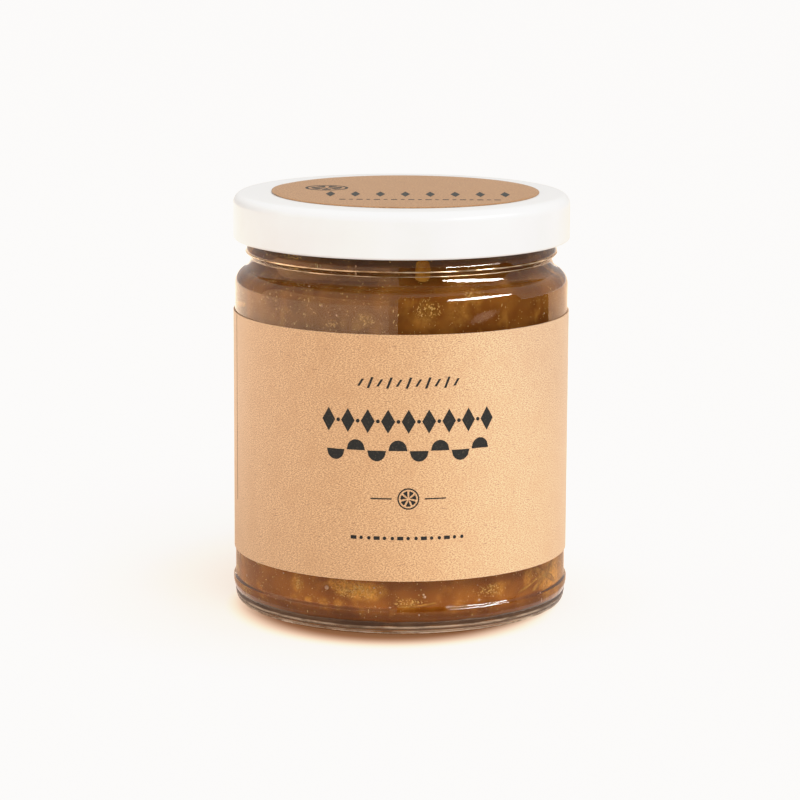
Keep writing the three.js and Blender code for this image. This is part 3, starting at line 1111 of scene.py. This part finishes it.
def smudge_material():
    """A soft uneven patch of light on the table at the right, for the wall's mirror image of it."""
    s = Shader("smudge_card")
    place = s.place()
    point = s.split(place)
    bearing = s.maths("ARCTAN2", point["X"], s.times(point["Y"], -1.0))
    across = s.maths("SUBTRACT", bearing, radians(SMUDGE_AT[0]))
    radius = s.maths("SUBTRACT", s.distance(place, (0, 0, 0)), SMUDGE_AT[1])
    away = s.maths("SUBTRACT", radius, s.times(across, SMUDGE_SLANT))
    wide = s.maths("POWER", s.maths("DIVIDE", across, radians(SMUDGE_SIZE[0])), 2.0)
    deep = s.maths("POWER", s.maths("DIVIDE", away, SMUDGE_SIZE[1]), 2.0)
    uneven = s.noise(s.place((1, 1, 0)), 16.0, 3, 0.7)
    edge = s.maths("ADD", s.maths("SQRT", s.maths("ADD", wide, deep)), uneven)
    s.set(
        Base_Color=(0.02, 0.02, 0.02, 1), Roughness=1.0, Specular_IOR_Level=0.0,
        Emission_Color=(1.0, 0.66, 0.50, 1), Emission_Strength=s.fit(edge, 1.6, 0.8, 0.0, 2.0),
    )
    return s.material


# The studio

def aim(thing, bearing, elevation):
    """Puts a thing LAMP_DISTANCE from the middle of the jar, looking at it."""
    level = LAMP_DISTANCE * cos(radians(elevation))
    at = on_jar(bearing, level, MIDDLE_Z + LAMP_DISTANCE * sin(radians(elevation)))
    thing.location = at * MM
    thing.rotation_euler = (Vector((0, 0, MIDDLE_Z)) - at).to_track_quat("-Z", "Y").to_euler()


def lamp(name, bearing, elevation, width, height, power, colour, shape="ELLIPSE"):
    light = bpy.data.lights.new(name, "AREA")
    light.shape = shape
    light.size, light.size_y = width * MM, height * MM
    light.energy, light.color = power, colour
    thing = add_object(name, light)
    aim(thing, bearing, elevation)
    return thing


def flat_stage(name, places, material):
    """A flat thing that belongs to the stage."""
    mesh = bpy.data.meshes.new(name)
    mesh.from_pydata([tuple(Vector(p) * MM) for p in places], [], [tuple(range(len(places)))])
    mesh.materials.append(material)
    thing = add_object(name, mesh)
    return thing


def ring_cards(name, start, end, inner, outer, material, step=10):
    """Cards that only reflections show, from one bearing to another, between two (radius, z) lines."""
    for left in range(start, end, step):
        right = left + step
        places = [on_jar(left, *inner), on_jar(right, *inner), on_jar(right, *outer), on_jar(left, *outer)]
        card = flat_stage(f"{name}_card_{left}", places, material)
        card.visible_camera = card.visible_diffuse = card.visible_transmission = card.visible_shadow = False


def soften_highlights(view):
    """Gives the view the soft shoulder of a camera."""
    view.use_curve_mapping = True
    mapping = view.curve_mapping
    mapping.white_level = (TONE_TOP, TONE_TOP, TONE_TOP)
    curve = mapping.curves[3]
    for light, shown in TONES[1:-1]:
        curve.points.new(light / TONE_TOP, shown)
    curve.points[0].location = (0.0, 0.0)
    curve.points[-1].location = (1.0, TONES[-1][1])
    for point in curve.points:
        point.handle_type = "VECTOR"
    mapping.update()


def build_camera():
    scene = bpy.context.scene
    data = bpy.data.cameras.new("camera")
    data.lens, data.sensor_width = CAMERA_LENS, SENSOR
    data.clip_end = 100
    camera = add_object("camera", data)
    tilt = Matrix.Rotation(radians(90 - CAMERA_TILT), 4, "X")
    roll = Matrix.Rotation(radians(CAMERA_ROLL), 4, "Z")
    camera.matrix_world = Matrix.Translation(Vector(CAMERA_AT) * MM) @ tilt @ roll
    scene.camera = camera
    scene.view_settings.view_transform = "Standard"
    scene.view_settings.look = "None"
    soften_highlights(scene.view_settings)
    scene.cycles.use_denoising = True


def build_room():
    world = bpy.data.worlds.new("room")
    bpy.context.scene.world = world
    world.use_nodes = True
    background = world.node_tree.nodes["Background"]
    background.inputs["Color"].default_value = (0.99, 0.975, 0.955, 1)
    background.inputs["Strength"].default_value = WORLD_STRENGTH
    corners = [(x * FLOOR_REACH, y * FLOOR_REACH, 0) for x, y in ((-1, -1), (1, -1), (1, 1), (-1, 1))]
    flat_stage("floor", corners, floor_material())


def build_lamps():
    data = bpy.data.lights.new("key", "SUN")
    data.energy, data.angle, data.color = KEY_ENERGY, radians(38), (1.0, 0.985, 0.96)
    key = add_object("key", data)
    aim(key, 28, 50)
    fill = lamp("fill", -100, 18, 700, 700, 3.0, (1.0, 0.975, 0.94))
    key.visible_glossy = fill.visible_glossy = False
    sheen = lamp("paper_sheen", 82, 5, 1500, 800, 20.0, (1.0, 0.985, 0.95), "RECTANGLE")
    sheen.light_linking.receiver_collection = bpy.data.collections.new("papers")
    glint = lamp("glint", 61, 34, 880, 230, 20.0, (1.0, 0.95, 0.88))
    for light in (sheen, glint):
        light.visible_diffuse = light.visible_transmission = False


def build_reflections():
    """What reflections show: at the right a dark room over a dark table, at the left a warm pale one."""
    dark, grey, warm, pale, dim, halfway, distant = [
        plain_material(f"{name}_card", colour, glow) for name, colour, glow in (
            ("dark", (0.02, 0.02, 0.02), 0.0), ("grey", (0.40, 0.29, 0.21), 1.0),
            ("warm", (1.0, 0.70, 0.50), 1.15), ("pale", (1.0, 0.78, 0.60), 0.8),
            ("dim", (1.0, 0.70, 0.50), 0.7), ("halfway", (1.0, 0.68, 0.46), 0.4),
            ("distant", (1.0, 0.72, 0.52), 0.25),
        )
    ]
    foot, near, far = CARD_RADII
    pale_floor = (near, PALE_Z), (far, PALE_Z)
    ring_cards("dark_floor", -2, 118, (near, DARK_Z), (far, DARK_Z), dark)
    ring_cards("dark_wall", -2, 88, (far, DARK_Z), (far * 0.8, DARK_WALL_TOP), dark)
    ring_cards("far_floor", 118, 178, *pale_floor, distant)
    ring_cards("warm_floor", -178, -128, *pale_floor, pale)
    ring_cards("warm_floor", -128, -8, *pale_floor, warm)
    ring_cards("warm_wall", -108, -8, (far, PALE_Z), (far, WARM_WALL_TOP), dim)
    ring_cards("halfway_floor", -8, -2, *pale_floor, halfway, step=6)
    left, right, inner, outer = SMUDGE_CARD
    lines = (inner, SMUDGE_Z), (outer, SMUDGE_Z)
    ring_cards("smudge", left, right, *lines, smudge_material(), step=right - left)
    ring_cards("grey_floor", -180, 180, (foot, PALE_Z), (near, PALE_Z), grey, step=15)


def main():
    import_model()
    build_camera()
    build_room()
    build_lamps()
    build_reflections()

    label = build_label()
    sticker_paper = kraft_material("kraft_sticker", False, tint=(0.685, 0.60, 0.475), specular=0.2)
    golden = pulp_material("golden_pulp", (0.60, 0.31, 0.085), (0.44, 0.20, 0.045), 0.0, 0.4, 1.2, 0.85)
    peel = pulp_material("orange_peel", (0.42, 0.18, 0.028), (0.26, 0.098, 0.013), 0.0)
    zest = pulp_material("pale_pulp", (0.66, 0.40, 0.15), (0.40, 0.19, 0.05), 0.0, 0.5, 1.25, 0.95)
    # The bubbles' pale colour is painted light caught in them
    painted_bubble_light = pulp_material("bubble_painted_light", (0.56, 0.34, 0.21), (0.42, 0.22, 0.12), 0.1)
    # Each piece with its material, its slot and the CAD node that it replaces
    pieces = [
        (build_glass(), glass_material(), "glass", "glass_jar"),
        (build_lines("neck_painted_glints", NECK_PAINTED_HIGHLIGHTS), neck_line_material(), "glass", None),
        (build_lines("foot_painted_lines", FOOT_PAINTED_LIGHT_AND_SHADE), foot_line_material(), "glass", None),
        (build_marmalade(), marmalade_material(), "marmalade", "marmalade"),
        (build_lid(), lid_material(), "lid", "lid"),
        (label, kraft_material("kraft_paper", True), "kraft_paper", "label"),
        (build_sticker(), sticker_paper, "kraft_paper", "lid_sticker"),
        (print_label(), ink_material("label_ink", 1.0), "kraft_paper", None),
        # The sticker's ink is painted lighter, for the sheen it shows seen low across the lid
        (print_sticker(), ink_material("sticker_ink", 2.8), "kraft_paper", None),
        (build_pulp(), golden, "marmalade", None),
        (build_shreds(), peel, "marmalade", None),
        (build_specks(), zest, "marmalade", None),
        (build_bubbles(), painted_bubble_light, "marmalade", None),
    ]
    for piece, material, slot, node in pieces:
        piece.data.materials.append(material)
        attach(piece, "root")
        if node:
            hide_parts(node)
    bpy.data.collections["papers"].objects.link(label)


main()
